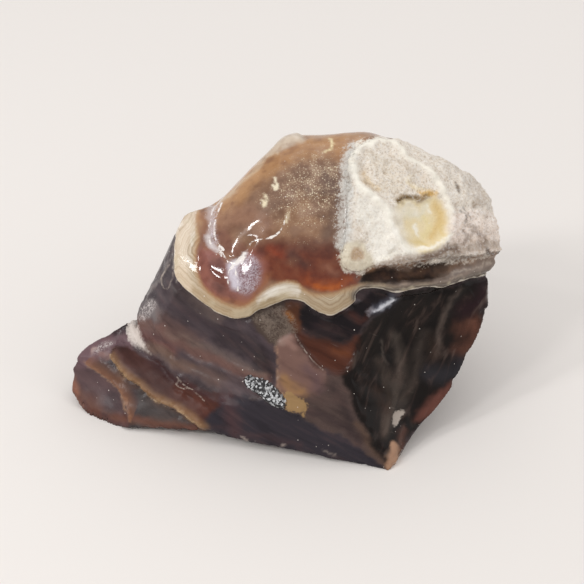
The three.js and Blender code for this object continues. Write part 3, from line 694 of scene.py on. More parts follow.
def arris_tree(bm, step):
    """A search tree of points along the arrises."""
    points = []
    for edge in bm.edges:
        if len(edge.link_faces) == 2 and edge.calc_face_angle() > ARRIS:
            a, b = (v.co for v in edge.verts)
            count = max(1, round((b - a).length / step))
            points += [a.lerp(b, i / count) for i in range(count + 1)]
    tree = kdtree.KDTree(len(points))
    for i, point in enumerate(points):
        tree.insert(point, i)
    tree.balance()
    return tree


def evenly_meshed(mesh, cell):
    """A copy of a mesh made of even cells, its sharp edges kept."""
    depth = 8
    carrier = bpy.data.objects.new("carrier", mesh)
    bpy.context.scene.collection.objects.link(carrier)
    remesh = carrier.modifiers.new("Even cells", "REMESH")
    remesh.mode = "SHARP"
    remesh.octree_depth = depth
    remesh.scale = min(0.99, max(carrier.dimensions) / (cell * 2**depth))
    remesh.use_remove_disconnected = True
    evaluated = carrier.evaluated_get(bpy.context.evaluated_depsgraph_get())
    even = bpy.data.meshes.new_from_object(evaluated)
    bpy.data.objects.remove(carrier)
    return even


def ground_down(node, cell):
    """A fine, even copy of a CAD node, its facets rubbed smooth and its arrises kept, and how far each
    of its points is from an arris, in mm."""
    bm = bmesh.new()
    bm.from_mesh(node.data)
    bmesh.ops.remove_doubles(bm, verts=bm.verts, dist=1e-7)
    arrises = arris_tree(bm, 0.4 * MM)
    rough = bpy.data.meshes.new("rough")
    bm.to_mesh(rough)
    bm.free()
    fine = evenly_meshed(rough, cell)
    bpy.data.meshes.remove(rough)

    bm = bmesh.new()
    bm.from_mesh(fine)
    far = []
    for v in bm.verts:
        inside = [reach - (v.co - Vector(middle) * MM).length / MM for middle, reach in SOFTENED]
        far.append(max(arrises.find(v.co)[2] / MM, *inside))
    for reach, rounds in RUBBING:
        rubbed = [v for v, away in zip(bm.verts, far) if away >= reach]
        for _ in range(rounds):
            bmesh.ops.smooth_vert(
                bm, verts=rubbed, factor=0.5, use_axis_x=True, use_axis_y=True, use_axis_z=True
            )
    bm.to_mesh(fine)
    bm.free()
    return fine, np.array(far)


def cap_depth(skin):
    """How far above the cap's lower edge each point is, in mm. Round the ends and the back the edge is
    where the dome sits on the block."""
    x, y, z = skin.mm.T
    left_edge = np.interp(y, *zip(*LEFT_EDGE))
    edge = FRONT_EDGE + smooth(-12.5, -16, x) * (left_edge - FRONT_EDGE) + 0.4 * skin.grain(7, 21, 2)
    behind = np.clip(z - edge, -20, 20)
    ahead = depth_inside(skin.view, drawn(OUTLINES["cap"], True), 20 * UNITS_PER_MM) / UNITS_PER_MM
    seen = skin.front * smooth(-19.6, -18.8, x)
    return seen * ahead + (1 - seen) * behind


def crust_depth(skin, cap):
    """How far into the crust each point is, in mm. The crust wraps the cap's right end, front and back."""
    x, y, z = skin.mm.T
    places = np.stack([skin.mm @ RIGHT, skin.mm @ UP], 1)
    ahead = depth_inside(places, drawn(CRUST_BORDER, True), 12)
    past = 0.9 * (x - BACK_BORDER[0] - BACK_LEAN * (z - BACK_BORDER[1]))
    behind = past + 2.2 * skin.grain(8, 24, 2) + 0.8 * skin.grain(2.5, 25, 2)
    depth = skin.front * ahead + (1 - skin.front) * np.clip(behind, -12, 12)
    return np.where(cap > 1.0, depth, np.minimum(depth, cap - 1.0))


def amber_depth(skin, cap):
    """How far into the amber each point is, in mm. It starts a little above the cap's lower edge."""
    shown = depth_inside(skin.view, drawn(OUTLINES["amber"], True), 12 * UNITS_PER_MM) / UNITS_PER_MM
    amber = skin.front * shown + (1 - skin.front) * np.clip(cap - 2.6, -12, 12)
    return np.where(cap < 0, np.minimum(amber, cap), amber)


def soft_spot(skin, x, y, wide, high):
    """A soft spot in the front view: one at its middle, falling to nothing."""
    px, py = skin.view.T
    return np.exp(-(((px - x) / wide) ** 2) - (((py - y) / high) ** 2))


def ridge(skin, line, height, width):
    """A ridge along a drawn line."""
    return height * np.exp(-((skin.beside(line) / width) ** 2))


def ripples(skin, way, spacing, bend, size, seed):
    """Ripples from minus one to one, the given spacing apart and bent by noise."""
    return np.sin(way * 2 * math.pi / spacing + bend * skin.grain(size, seed, 2))


def dark_relief(skin, far, dark):
    """The dark stone: long waves, ripples where flakes came off, and nibbled arrises."""
    x, y, z = skin.mm.T
    px, py = skin.view.T
    flow = ripples(skin, (py - 0.5 * px) / UNITS_PER_MM, 2.4, 2.2, 6, 3)
    fan = ripples(skin, np.hypot(px - FAN[0], py - FAN[1]) / UNITS_PER_MM, 3.6, 4, 6, 4)
    shell = ripples(skin, np.hypot(x - SHELL[0], z - SHELL[1]), 3.1, 2.5, 7, 5)
    nibble = np.maximum(0, skin.grain(1.8, 6, 2) + 0.1) * (1 - smooth(0.2, 1.1, far))
    rise = 0.16 * skin.grain(7, 1) + 0.035 * skin.grain(1.6, 2)
    rise += 0.05 * shell * (1 - skin.front) * smooth(2, 10, y)
    rise -= (0.22 + 0.22 * skin.front) * nibble
    rise *= dark
    rise += 0.07 * flow * smooth(-0.5, 1.5, skin.inside("front face"))
    return rise + 0.018 * fan * smooth(0, 2, skin.inside("scoop"))


def cap_relief(skin, cap, amber, dark):
    """The cap: ledges where its layers come out along its edge, and wavy amber with a smooth bulb."""
    px, py = skin.view.T
    layer = np.mod((cap + 0.5 * skin.grain(5, 17, 2)) / 0.8, 1.0)
    edge = smooth(-0.1, 0.2, cap) * (1 - smooth(-0.4, 0.4, amber))
    rise = edge * (0.3 + 0.7 * smooth(*LEDGES_GROW, px)) * (0.12 - 0.16 * layer)
    rise -= 0.3 * np.exp(-(((cap + 0.35) / 0.35) ** 2))
    wavy = 0.14 * skin.grain(5.5, 18, 2) + 0.012 * skin.grain(1.4, 19, 2)
    wavy *= 1 - 0.85 * smooth(-1, 1, skin.inside("bulb"))
    middle, wide = RIBS
    ribs = np.abs(np.sin((px - 0.25 * py) / 2.3)) * np.exp(-(((px - middle) / wide) ** 2))
    ribs *= smooth(*RIBS_FADE, py) * skin.front
    return rise + (1 - dark) * (wavy - 0.06 * ribs)


def crust_relief(skin, crust):
    """The crust: grainy, pitted, with two raised lips round a sandy floor and a glassy hollow."""
    px, py = skin.view.T
    crumb = 0.3 * skin.grain(2.8, 20, 3) + 0.2 * skin.grain(0.95, 22, 2)
    crumb -= 0.5 * np.maximum(0, skin.grain(1.5, 26, 2) - 0.22)
    calm = 1 - 0.75 * smooth(0, 0.6, skin.inside("glassy"))
    rise = (1 - skin.front) * 0.5 * skin.grain(5.5, 27, 2)
    rise += crumb * calm * (1 + 0.9 * smooth(*CRUST_COARSENS, px))
    rise -= 0.35 * (1 - smooth(0, 1.4, crust))
    uneven = 0.8 + 0.5 * skin.grain(2.2, 23, 2)
    lips = np.max([ridge(skin, *lip) for lip in LIPS], axis=0)
    return rise + np.maximum(0, lips * uneven) * smooth(*LIPS_GROW, py + 0.2 * (px - 360))


def raise_relief(skin, far, cap, amber, crust):
    """How far each point is pushed out of the smooth shape, in mm."""
    dark = 1 - smooth(-0.3, 0.3, cap)
    chalky = smooth(-0.2, 0.5, crust)
    rise = dark_relief(skin, far, dark)
    rise += cap_relief(skin, cap, amber, dark) * (1 - chalky)
    rise += crust_relief(skin, crust) * chalky
    for place, wide, height in SWELLINGS:
        rise += height * np.exp(-(((skin.mm - np.array(place)) / wide) ** 2).sum(1))
    frayed = 0.25 * skin.grain(1.5, 7, 2)
    for name, height, edge in STEPS:
        rise += height * smooth(-0.1, edge, skin.inside(name) + frayed)
    for name, height, edge in HUMPS:
        rise += height * smooth(0, edge, skin.inside(name))
    for name, edge, height, size, seed, octaves in GRAINY:
        rise += height * skin.grain(size, seed, octaves) * smooth(0, edge, skin.inside(name))
    for line, height, width in RIDGES:
        rise += ridge(skin, line, height, width)
    rise += 0.5 * soft_spot(skin, *FOOT_BUMPS) * skin.front * skin.grain(1.9, 15, 2)
    return rise + ridge(skin, "tongue arris", 0.22, 0.8) * skin.grain(1.1, 16, 2)


def material_zones(skin, cap, amber, crust):
    """What the stone's material reads, by name."""
    px, py = skin.view.T
    plain = np.maximum(0.25 * smooth(*BANDING_FADES, px), 0.6 * smooth(0, 0.8, skin.inside("lens")))
    fading = 0.07 * (143 - px) * (skin.inside("neck patch") > -0.6)
    frost = sum(soft_spot(skin, *spot) for spot in FROSTED)
    zones = {
        "cap": cap,
        "amber": amber,
        "crust": crust,
        # a painted glow: lighter where the stone is thin, for light that passes through it
        "thin": np.exp(-skin.thickness() / GLOW),
        "behind": 1 - skin.front,
        "banding": 1 - plain * skin.front,
        "dull": smooth(-0.8, 0.6, skin.inside("band")),
        "in scoop": smooth(-0.5, 1.5, skin.inside("scoop")),
        "tongue edge": smooth(1.7, 0.2, skin.beside("tongue arris")),
        "foot edge": smooth(2.6, 0, skin.beside("foot arris")),
        "amber side": 1 - smooth(*AMBER_FADES, px) * skin.front,
        "border fuzz": 1.8 - skin.beside("border fuzz"),
        # the groove's frost, and the lilac crystals with a painted reflection
        "bloom": np.maximum(skin.inside("sheen"), skin.inside("groove bloom")),
        "frost and painted glints": np.maximum(skin.inside("foot frost"), skin.inside("wall frost")),
        "neck patch": skin.inside("neck patch") + fading,
        "frost": np.clip(frost, 0, 1) * skin.front,
    }
    for name in ("tongue", "foot glow", "druse", "straw patch", "white chip", "frosted nook"):
        zones[name] = skin.inside(name)
    veins = ("frost groove", "frost groove twin", "star", "star ray", "star arm", "star arm low", "gold vein")
    fibres = ("flake arris", "sliver loop", "lint", "lint loop")
    for name, lines in (("vein", veins), ("bright line", fibres)):
        zones[name] = np.min([skin.beside(line) for line in lines], axis=0)
    return zones


def name_attribute(mesh, name, values):
    """Names numbers or colours on the mesh's points."""
    if values.ndim == 1:
        mesh.attributes.new(name, "FLOAT", "POINT").data.foreach_set("value", values.astype(np.float32))
    else:
        rgba = np.concatenate([values, np.ones((len(values), 1))], axis=1).astype(np.float32)
        mesh.attributes.new(name, "FLOAT_COLOR", "POINT").data.foreach_set("color", rgba.ravel())


def carve_stone(node, settings):
    """The stone's mesh: the CAD shape ground smooth, with its relief and what its material reads."""
    mesh, far = ground_down(node, settings.cell)
    skin = Surface(mesh)
    cap = cap_depth(skin)
    crust = crust_depth(skin, cap)
    amber = amber_depth(skin, cap)

    # The flat that it rests on stays flat, and nothing goes below the floor.
    rests = smooth(0.25, 0.9, skin.mm[:, 2]) + (1 - smooth(0.6, 0.9, -skin.normal[:, 2]))
    rise = raise_relief(skin, far, cap, amber, crust) * settings.relief * np.clip(rests, 0, 1)
    placed = skin.co + skin.normal * (rise * MM)[:, None]
    placed[:, 2] = np.maximum(placed[:, 2], 0)
    mesh.vertices.foreach_set("co", placed.ravel())
    mesh.update()

    waxy = smooth(-0.2, 0.2, cap)
    rough = np.zeros(len(cap))
    for name, share, base, base_rough, washes in (
        ("stone colour", 1, settings.stone_colour, 0.24, BODY_WASHES),
        ("rind colour", waxy, settings.rind_colour, 0.34, RIND_WASHES),
        ("amber colour", waxy * smooth(-0.4, 0.2, amber), settings.amber_colour, 0.26, CAP_WASHES),
        ("chalk colour", smooth(-0.3, 0.3, crust), settings.chalk_colour, 0.88, CRUST_WASHES),
    ):
        colour, washed_rough = skin.washed(base, base_rough, washes)
        rough += share * (washed_rough - rough)
        name_attribute(mesh, name, colour)
    name_attribute(mesh, "rough", rough)
    for name, values in material_zones(skin, cap, amber, crust).items():
        name_attribute(mesh, name, values)
    return mesh


# ---- its material ------------------------------------------------------------------------------------


def add(tree, kind, inputs=None, output=0, **settings):
    """Adds a node with its settings, its inputs set or linked, and gives the socket that is read."""
    node = tree.nodes.new(kind)
    for name, value in settings.items():
        setattr(node, name, value)
    for name, value in (inputs or {}).items():
        if isinstance(value, bpy.types.NodeSocket):
            tree.links.new(value, node.inputs[name])
        else:
            node.inputs[name].default_value = value
    return node.outputs[output] if node.outputs else None


# What the material reads from the skin: depths into a zone or distances from a line in mm, or shares from
# nothing to one.
ZONES = (
    "cap", "amber", "crust", "rough", "thin", "behind", "banding", "in scoop", "tongue", "tongue edge",
    "foot glow", "foot edge", "druse", "straw patch", "neck patch", "white chip", "bright line", "vein",
    "bloom", "frost", "frosted nook", "amber side", "border fuzz", "dull", "frost and painted glints",
)

# Even noises: name, size in mm, detail, warp, and along what it is drawn out.
CLOUDS = (
    ("grit", 0.2, 2, 0, "at"),
    ("fine", 0.45, 3, 0, "at"),
    ("frosting", 0.23, 2, 0, "at"),
    ("crackle", 0.5, 4, 1.5, "at"),
    ("middle", 1.8, 3, 0, "at"),
    ("mottling", 3.5, 4, 0, "at"),
    ("broad", 8.0, 3, 0, "at"),
    ("flow", 1.5, 3, 0, "flow lines"),
    ("scratches", 0.5, 4, 0, "flow lines"),
    ("veils", 2.2, 4, 0.7, "hanging lines"),
)

# The ways that noises are drawn out: the turn in degrees, and the stretch along X, Y and Z.
DRAWN_OUT = (("flow lines", 27, (7.0, 2.5, 1.0)), ("hanging lines", -62, (3.2, 3.0, 1.0)))

# Crystals, grains, flecks and dust, in cells of this size in mm.
CELLS = (("crystal", 0.34), ("grain", 0.26), ("fleck", 0.36), ("dust", 1.1))

# Sums and products of what is read and of the noises: name, operation and up to three terms.
SUMS = (
    ("ragged", "ADD", "fine", "middle"),
    ("ragged", "SUBTRACT", "ragged", 1.0),
    ("faintness", "MULTIPLY_ADD", "middle", 1.6, -0.45),
    ("veil gap", "SUBTRACT", "veils", "flow"),
    ("streaks", "MULTIPLY_ADD", "veil gap", "in scoop", "flow"),
    ("drift", "MULTIPLY", "broad", 0.6),
    ("drift", "MULTIPLY_ADD", "flow", 0.4, "drift"),
    ("frosted", "MULTIPLY_ADD", "middle", 0.8, -0.52),
    ("frosted", "MULTIPLY_ADD", "frost", 0.3, "frosted"),
    ("frosted", "ADD", "frosting", "frosted"),
    ("vein wavering", "MULTIPLY_ADD", "middle", 0.6, -0.3),
    ("vein wavering", "ADD", "vein wavering", "vein"),
    ("sparkle size", "MULTIPLY_ADD", "frost", 0.4, -0.6),
    ("sparkle size", "MULTIPLY_ADD", "middle", 0.5, "sparkle size"),
    ("sparkle size", "MULTIPLY_ADD", "fleck shade", 0.3, "sparkle size"),
    ("sparkles", "LESS_THAN", "fleck", "sparkle size"),
    ("crackled", "MULTIPLY_ADD", "crackle", 4.0, -1.6),
    ("fuzz frayed", "MULTIPLY_ADD", "crackle", 4.0, -2.0),
    ("fuzz frayed", "ADD", "fuzz frayed", "border fuzz"),
    ("fuzz frayed", "MULTIPLY_ADD", "ragged", 2.5, "fuzz frayed"),
    ("cap bent", "MULTIPLY_ADD", "middle", 0.9, -0.45),
    ("cap bent", "ADD", "cap bent", "cap"),
    ("layer place", "MULTIPLY", "cap bent", 2.6),
    ("dry", "MULTIPLY_ADD", "rough", 3.0, -1.6),
    ("crust frayed", "MULTIPLY_ADD", "middle", 2.0, -1.0),
    ("crust frayed", "MULTIPLY_ADD", "fine", 1.4, "crust frayed"),
    ("crust frayed", "SUBTRACT", "crust frayed", 0.7),
    ("crust frayed", "ADD", "crust frayed", "crust"),
    ("dust size", "MULTIPLY_ADD", "dust shade", 0.3, -0.195),
    ("specks", "LESS_THAN", "dust", "dust size"),
)

# How coarse the surface is: the crust and the crystals fully, the cap's layers a little. Each row is a
# name, what it follows, where it starts, where it is full and the most it comes to.
COARSENESS = (
    ("coarse crust", "crust frayed", -0.3, 0.6, 1.0),
    ("coarse druse", "druse", -0.1, 0.2, 1.0),
    ("coarse edge", "amber", -1.0, -2.0, 0.2),
    ("over edge", "cap", -0.1, 0.1, 1.0),
    ("polished", "amber", -3.5, -0.8, 1.0),
)

# What the roughness, the polish and the fine bumps come to, in rows as those of the sums.
FINISH = (
    ("coarse edge", "MULTIPLY", "coarse edge", "over edge"),
    ("coarse", "MAXIMUM", "coarse crust", "coarse druse"),
    ("coarse", "MAXIMUM", "coarse", "coarse edge"),
    ("least rough", "MULTIPLY", "coarse", 0.45),
    ("roughness", "MULTIPLY_ADD", "middle", 0.2, -0.1),
    ("roughness", "ADD", "roughness", "rough"),
    ("roughness", "MAXIMUM", "roughness", "least rough"),
    ("smoothness", "MAXIMUM", "coarse crust", "dull"),
    ("smoothness", "SUBTRACT", 1.0, "smoothness"),
    ("polish", "MULTIPLY", "polished", "smoothness"),
    ("polish", "MULTIPLY", "polish", "over edge"),
    ("polish", "MULTIPLY", "polish", "most polished"),
    ("grain height", "MULTIPLY_ADD", "coarse", 0.16 * MM, 0.008 * MM),
    ("bumps", "ADD", "fine", "grit"),
    ("bumps", "MULTIPLY", "bumps", "grain height"),
    ("crystal height", "MULTIPLY", "crystal", "coarse druse"),
    ("bumps", "MULTIPLY_ADD", "crystal height", 0.2 * MM, "bumps"),
)

# Sums that are kept between nothing and one.
CLAMPED = ("faintness", "crackled", "dry")

# Coats of colour in the order they go on: the layer, what the coat follows, how frayed it is, where it
# starts and where it is full, its strength, what holds it back, how it blends and its colour.
COATS = (
    # the dark stone: warmer and cooler drifts round the back, then streaks drawn out the way it flowed
    ("stone", "drift", 0, 0.42, 0.6, 0.8, "behind", "MIX", "#4b3733"),
    ("stone", "drift", 0, 0.5, 0.38, 0.7, "behind", "MIX", "#332a2e"),
    ("stone", "streaks", 0, 0.48, 0.7, 0.6, None, "SCREEN", "#33231f"),
    ("stone", "veils", 0, 0.54, 0.78, 0.34, "in scoop", "MIX", "#655a52"),
    ("stone", "scratches", 0, 0.66, 0.84, 0.18, None, "MIX", "#8d8079"),
    ("stone", "streaks", 0, 0.5, 0.3, 0.6, None, "MULTIPLY", "#c3c0c5"),
    # a painted glow, lighter brown where the stone is thin, for light that passes through it
    ("stone", "thin", 0, 0.35, 0.95, 0.35, None, "MIX", "#7c5947"),
    # crisp patches, and the painted glow of light through thin arrises
    ("stone", "tongue", 0.35, -0.12, 0.12, 0.7, "tongue edge", "MIX", "#8b694b"),
    ("stone", "foot glow", 0.3, -0.12, 0.12, 0.65, "foot edge", "MIX", "#845a42"),
    ("stone", "straw patch", 1.1, -0.3, 0.3, 0.9, None, "MIX", "#9d7e56"),
    ("stone", "neck patch", 0.9, 0.0, 1.3, 0.9, None, "MIX", "#ddd2ca"),
    ("stone", "white chip", 0.6, -0.2, 0.2, 0.8, None, "MIX", "#b5a99f"),
    ("stone", "frosted nook", 0.5, -0.2, 0.4, 0.42, "crackled", "MIX", "#8a7c70"),
    # pale crackled frost, and white painted highlights on the foot's top
    ("stone", "frost and painted glints", 0.3, -0.4, 0.6, 0.85, "crackled", "MIX", "#cfc6c3"),
    ("stone", "bright line", 0.2, 0.22, 0.06, 1.0, "faintness", "MIX", "#bfb1a5"),
    # silvery crystals in a patch on the front
    ("crystals", "crystal shade", 0, 0.4, 0.9, 1.0, None, "MIX", "#d8dadc"),
    ("stone", "druse", 1.1, -0.1, 0.15, 1.0, None, "MIX", "crystals"),
    # the pale layers at the cap's edge
    ("rind", "layers", 0, 0.56, 0.4, 0.6, "banding", "MULTIPLY", "#dacebc"),
    ("rind", "layers", 0, 0.36, 0.28, 0.5, "banding", "MIX", "#6f5c48"),
    ("rind", "layers", 0, 0.6, 0.72, 0.5, "banding", "MIX", "#e0d6c4"),
    ("rind", "mottling", 0, 0.52, 0.66, 0.5, "banding", "MIX", "#c9bb9f"),
    ("rind", "cap bent", 0, 0.3, 0.1, 0.7, None, "MIX", "#ddd4c5"),
    ("rind", "amber", 0.35, -1.3, 0.2, 0.8, "amber side", "MIX", "#ab7c49"),
    # amber, cloudy, with frosting and white veins
    ("amber", "middle", 0, 0.4, 0.7, 0.35, None, "SCREEN", "#573c27"),
    ("amber", "middle", 0, 0.5, 0.32, 0.5, None, "MULTIPLY", "#d3c2b8"),
    ("amber", "mottling", 0, 0.5, 0.66, 0.4, "frost", "MIX", "#9c8070"),
    ("amber", "mottling", 0, 0.5, 0.3, 0.5, None, "MULTIPLY", "#cfc0b8"),
    ("amber", "frosted", 0, 0.64, 0.86, 0.4, None, "MIX", "#c2ab8d"),
    ("amber", "vein wavering", 0.16, 0.22, 0.07, 0.95, None, "MIX", "#f3ece6"),
    # white crackle: frost in the groove, and a painted reflection on the lilac crystals
    ("amber", "bloom", 0, -0.4, 0.9, 0.68, "crackled", "MIX", "#d9d0d9"),
    ("amber", "drift", 0, 0.42, 0.62, 0.8, "behind", "MIX", "#a06f45"),
    ("amber", "drift", 0, 0.48, 0.34, 0.7, "behind", "MIX", "#6d4837"),
    ("amber", "sparkles", 0, 0, 1, 0.75, None, "MIX", "#e2d3b6"),
    ("amber", "fuzz frayed", 0, 0.2, 1.8, 0.85, None, "MIX", "#cdc8c1"),
    ("amber", "amber", 0.35, 0.3, -0.6, 1.0, None, "MIX", "rind"),
    ("stone", "cap", 0.12, -0.1, 0.06, 1.0, None, "MIX", "amber"),
    # chalk with sandy grains and fine pits
    ("chalk", "fine", 0, 0.5, 0.66, 0.8, "dry", "SCREEN", "#a0a0a0"),
    ("chalk", "fine", 0, 0.46, 0.3, 0.5, "dry", "MULTIPLY", "#d9cdbf"),
    ("chalk", "middle", 0, 0.5, 0.3, 0.4, "dry", "MULTIPLY", "#ece3d8"),
    ("chalk", "mottling", 0, 0.52, 0.34, 0.7, "behind", "MULTIPLY", "#d3c6b8"),
    ("chalk", "drift", 0, 0.52, 0.66, 0.6, "behind", "MIX", "#cdbfae"),
    ("chalk", "grain shade", 0, 0.65, 0.95, 0.34, "dry", "MIX", "#a08d7a"),
    ("stone", "crust frayed", 0, -0.5, 0.4, 1.0, None, "MIX", "chalk"),
    # dust and tiny chips that catch the light
    ("stone", "specks", 0, 0, 1, 0.7, None, "MIX", "#e9dfd6"),
)


def banded_stone(settings):
    """Banded chert: the dark stone broken, with a waxy gloss, the amber cap waterworn and polished, with
    pale layers at its edge, and the crust dry chalk that scatters all light."""
    material = bpy.data.materials.new("Banded stone")
    material.use_nodes = True
    tree = material.node_tree
    tree.nodes.clear()
    of = {"at": add(tree, "ShaderNodeTexCoord", output="Object"), "most polished": settings.polish}
    for name, turn, stretch in DRAWN_OUT:
        inputs = {"Vector": of["at"], "Rotation": (0, math.radians(turn), 0), "Scale": stretch}
        of[name] = add(tree, "ShaderNodeMapping", inputs, vector_type="TEXTURE")
    for name in ZONES:
        of[name] = add(tree, "ShaderNodeAttribute", output="Fac", attribute_name=name)
    for name, size, detail, warp, along in CLOUDS:
        inputs = {"Vector": of[along], "Scale": 1 / (size * MM), "Detail": detail, "Distortion": warp}
        of[name] = add(tree, "ShaderNodeTexNoise", inputs, "Fac")
    for name, size in CELLS:
        inputs = {"Vector": of["at"], "Scale": 1 / (size * MM)}
        of[name] = add(tree, "ShaderNodeTexVoronoi", inputs, "Distance")
        cells = of[name].node.outputs["Color"]
        of[name + " shade"] = add(tree, "ShaderNodeSeparateColor", {"Color": cells})

    for name, operation, *terms in SUMS:
        inputs = {i: of[term] if isinstance(term, str) else term for i, term in enumerate(terms)}
        of[name] = add(tree, "ShaderNodeMath", inputs, operation=operation, use_clamp=name in CLAMPED)
    inputs = {"W": of["layer place"], "Scale": 1.0, "Detail": 3.0}
    of["layers"] = add(tree, "ShaderNodeTexNoise", inputs, "Fac", noise_dimensions="1D")

    colours = {"crystals": (*linear("#39383a"), 1)}
    for name in ("stone", "rind", "amber", "chalk"):
        colours[name] = add(tree, "ShaderNodeAttribute", output="Color", attribute_name=name + " colour")
    for layer, follows, frayed, start, full, strength, held, blend, colour in COATS:
        depth = of[follows]
        if frayed:
            inputs = {0: of["ragged"], 1: frayed, 2: depth}
            depth = add(tree, "ShaderNodeMath", inputs, operation="MULTIPLY_ADD")
        inputs = {"Value": depth, "From Min": start, "From Max": full, "To Max": strength}
        cover = add(tree, "ShaderNodeMapRange", inputs, interpolation_type="SMOOTHSTEP")
        if held:
            cover = add(tree, "ShaderNodeMath", {0: cover, 1: of[held]}, operation="MULTIPLY")
        new = colours[colour] if colour in colours else (*linear(colour), 1)
        inputs = {0: cover, 6: colours[layer], 7: new}
        colours[layer] = add(tree, "ShaderNodeMix", inputs, 2, data_type="RGBA", blend_type=blend)

    for name, depth, start, full, most in COARSENESS:
        inputs = {"Value": of[depth], "From Min": start, "From Max": full, "To Max": most}
        of[name] = add(tree, "ShaderNodeMapRange", inputs, interpolation_type="SMOOTHSTEP")
    for name, operation, *terms in FINISH:
        inputs = {i: of[term] if isinstance(term, str) else term for i, term in enumerate(terms)}
        of[name] = add(tree, "ShaderNodeMath", inputs, operation=operation)

    inputs = {
        "Base Color": colours["stone"],
        "Roughness": of["roughness"],
        "Normal": add(tree, "ShaderNodeBump", {"Strength": 1.0, "Distance": 1.0, "Height": of["bumps"]}),
        "IOR": 1.54,
        "Specular IOR Level": settings.gloss,
        "Coat Weight": of["polish"],
        "Coat Roughness": 0.05,
        "Coat IOR": 1.45,
    }
    shader = add(tree, "ShaderNodeBsdfPrincipled", inputs)
    add(tree, "ShaderNodeOutputMaterial", {"Surface": shader}, is_active_output=True)
    return material


# ---- the add-on --------------------------------------------------------------------------------------

# A wide soft light above, a fill from the right, and the panes of a window that the polished cap
# mirrors: name, place and size in metres, and power in watts.
LIGHTS = (
    ("softbox", (0.05, 0.3, 1.1), 1.8, 5.5),
    ("fill", (0.8, -0.1, 0.5), 0.8, 1.2),
    ("near pane", (-0.32, -0.32, 0.45), 0.09, 0.5),
    ("lower pane", (-0.47, -0.25, 0.33), 0.09, 0.6),
    ("upper pane", (-0.36, -0.16, 0.5), 0.035, 0.15),
)
FLOOR_SIZE = 3.0
ROOM_LIGHT = 0.62


class SpecimenSettings(bpy.types.PropertyGroup):
    cell: FloatProperty(
        name="Cell",
        description="Size of the mesh's cells",
        default=0.4 * MM,
        min=0.2 * MM,
        unit="LENGTH",
        precision=5,
    )
    relief: FloatProperty(
        name="Relief",
        description="How strong the fine relief is",
        default=1.0,
        min=0,
        max=2,
    )
    gloss: FloatProperty(
        name="Gloss",
        description="How strongly the stone mirrors",
        default=0.14,
        min=0,
        max=1,
    )
    polish: FloatProperty(
        name="Polish",
        description="How polished the amber cap is",
        default=0.9,
        min=0,
        max=1,
    )
    stone_colour: FloatVectorProperty(
        name="Dark stone",
        description="Main colour of the dark stone",
        subtype="COLOR",
        default=linear("#43383a"),
    )
    amber_colour: FloatVectorProperty(
        name="Amber",
        description="Main colour of the cap",
        subtype="COLOR",
        default=linear("#8f6c52"),
    )
    rind_colour: FloatVectorProperty(
        name="Rind",
        description="Main colour of the layers at the cap's edge",
        subtype="COLOR",
        default=linear("#b8a68c"),
    )
    chalk_colour: FloatVectorProperty(
        name="Chalk",
        description="Main colour of the crust",
        subtype="COLOR",
        default=linear("#ece3d7"),
    )
    floor_colour: FloatVectorProperty(
        name="Floor",
        description="Colour of the floor",
        subtype="COLOR",
        default=linear("#e8e3df"),
    )


class SPECIMEN_OT_stone(bpy.types.Operator):
    """Make the stone"""

    bl_idname = "specimen.stone"
    bl_label = "Stone"

    def execute(self, context):
        settings = context.scene.specimen
        mesh = carve_stone(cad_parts["calcite_specimen"], settings)
        mesh.shade_smooth()
        stone = bpy.data.objects.new("stone", mesh)
        context.scene.collection.objects.link(stone)
        mesh.materials.clear()
        mesh.materials.append(banded_stone(settings))
        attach(stone, "root")
        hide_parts("calcite_specimen")
        return {"FINISHED"}


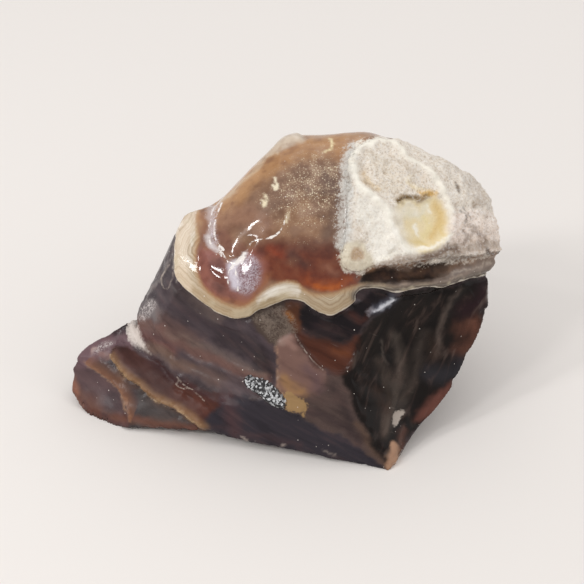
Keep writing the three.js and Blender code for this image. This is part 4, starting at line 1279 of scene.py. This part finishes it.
class SPECIMEN_OT_stage(bpy.types.Operator):
    """Make the floor, the lights and the camera"""

    bl_idname = "specimen.stage"
    bl_label = "Stage"

    def execute(self, context):
        scene = context.scene
        mesh = bpy.data.meshes.new("floor")
        bm = bmesh.new()
        bmesh.ops.create_grid(bm, x_segments=1, y_segments=1, size=FLOOR_SIZE)
        bm.to_mesh(mesh)
        bm.free()
        floor = bpy.data.objects.new("floor", mesh)
        scene.collection.objects.link(floor)
        card = bpy.data.materials.new("White card")
        card.use_nodes = True
        shader = card.node_tree.nodes["Principled BSDF"]
        shader.inputs["Base Color"].default_value = (*scene.specimen.floor_colour, 1)
        shader.inputs["Roughness"].default_value = 0.95
        shader.inputs["Specular IOR Level"].default_value = 0.1
        mesh.materials.append(card)

        world = bpy.data.worlds.new("Soft room")
        world.use_nodes = True
        background = world.node_tree.nodes["Background"]
        background.inputs["Color"].default_value = (1, 0.99, 0.98, 1)
        background.inputs["Strength"].default_value = ROOM_LIGHT
        scene.world = world

        for name, place, size, power in LIGHTS:
            light = bpy.data.lights.new(name, "AREA")
            light.size = size
            light.energy = power
            lamp = bpy.data.objects.new(name, light)
            lamp.location = place
            lamp.rotation_euler = (Vector(LOOK_AT) - Vector(place)).to_track_quat("-Z", "Y").to_euler()
            scene.collection.objects.link(lamp)

        lens = bpy.data.cameras.new("front view")
        lens.lens = LENS
        lens.sensor_width = SENSOR
        lens.clip_start = 0.01
        camera = bpy.data.objects.new("front view", lens)
        camera.location = EYE
        camera.rotation_euler = (math.pi / 2 - TILT, 0, 0)
        scene.collection.objects.link(camera)
        scene.camera = camera
        scene.view_settings.view_transform = "Standard"
        return {"FINISHED"}


class SPECIMEN_PT_panel(bpy.types.Panel):
    """Lists the specimen's settings and pieces"""

    bl_idname = "SPECIMEN_PT_panel"
    bl_label = "Calcite specimen"
    bl_space_type = "VIEW_3D"
    bl_region_type = "UI"
    bl_category = "Specimen"

    def draw(self, context):
        for name in SpecimenSettings.__annotations__:
            self.layout.prop(context.scene.specimen, name)
        for operator in (SPECIMEN_OT_stone, SPECIMEN_OT_stage):
            self.layout.operator(operator.bl_idname)


CLASSES = (SpecimenSettings, SPECIMEN_OT_stone, SPECIMEN_OT_stage, SPECIMEN_PT_panel)


def register():
    for cls in CLASSES:
        bpy.utils.register_class(cls)
    bpy.types.Scene.specimen = PointerProperty(type=SpecimenSettings)


def unregister():
    del bpy.types.Scene.specimen
    for cls in reversed(CLASSES):
        bpy.utils.unregister_class(cls)


def main():
    register()
    bpy.ops.specimen.stone()
    bpy.ops.specimen.stage()


if __name__ == "__main__":
    main()
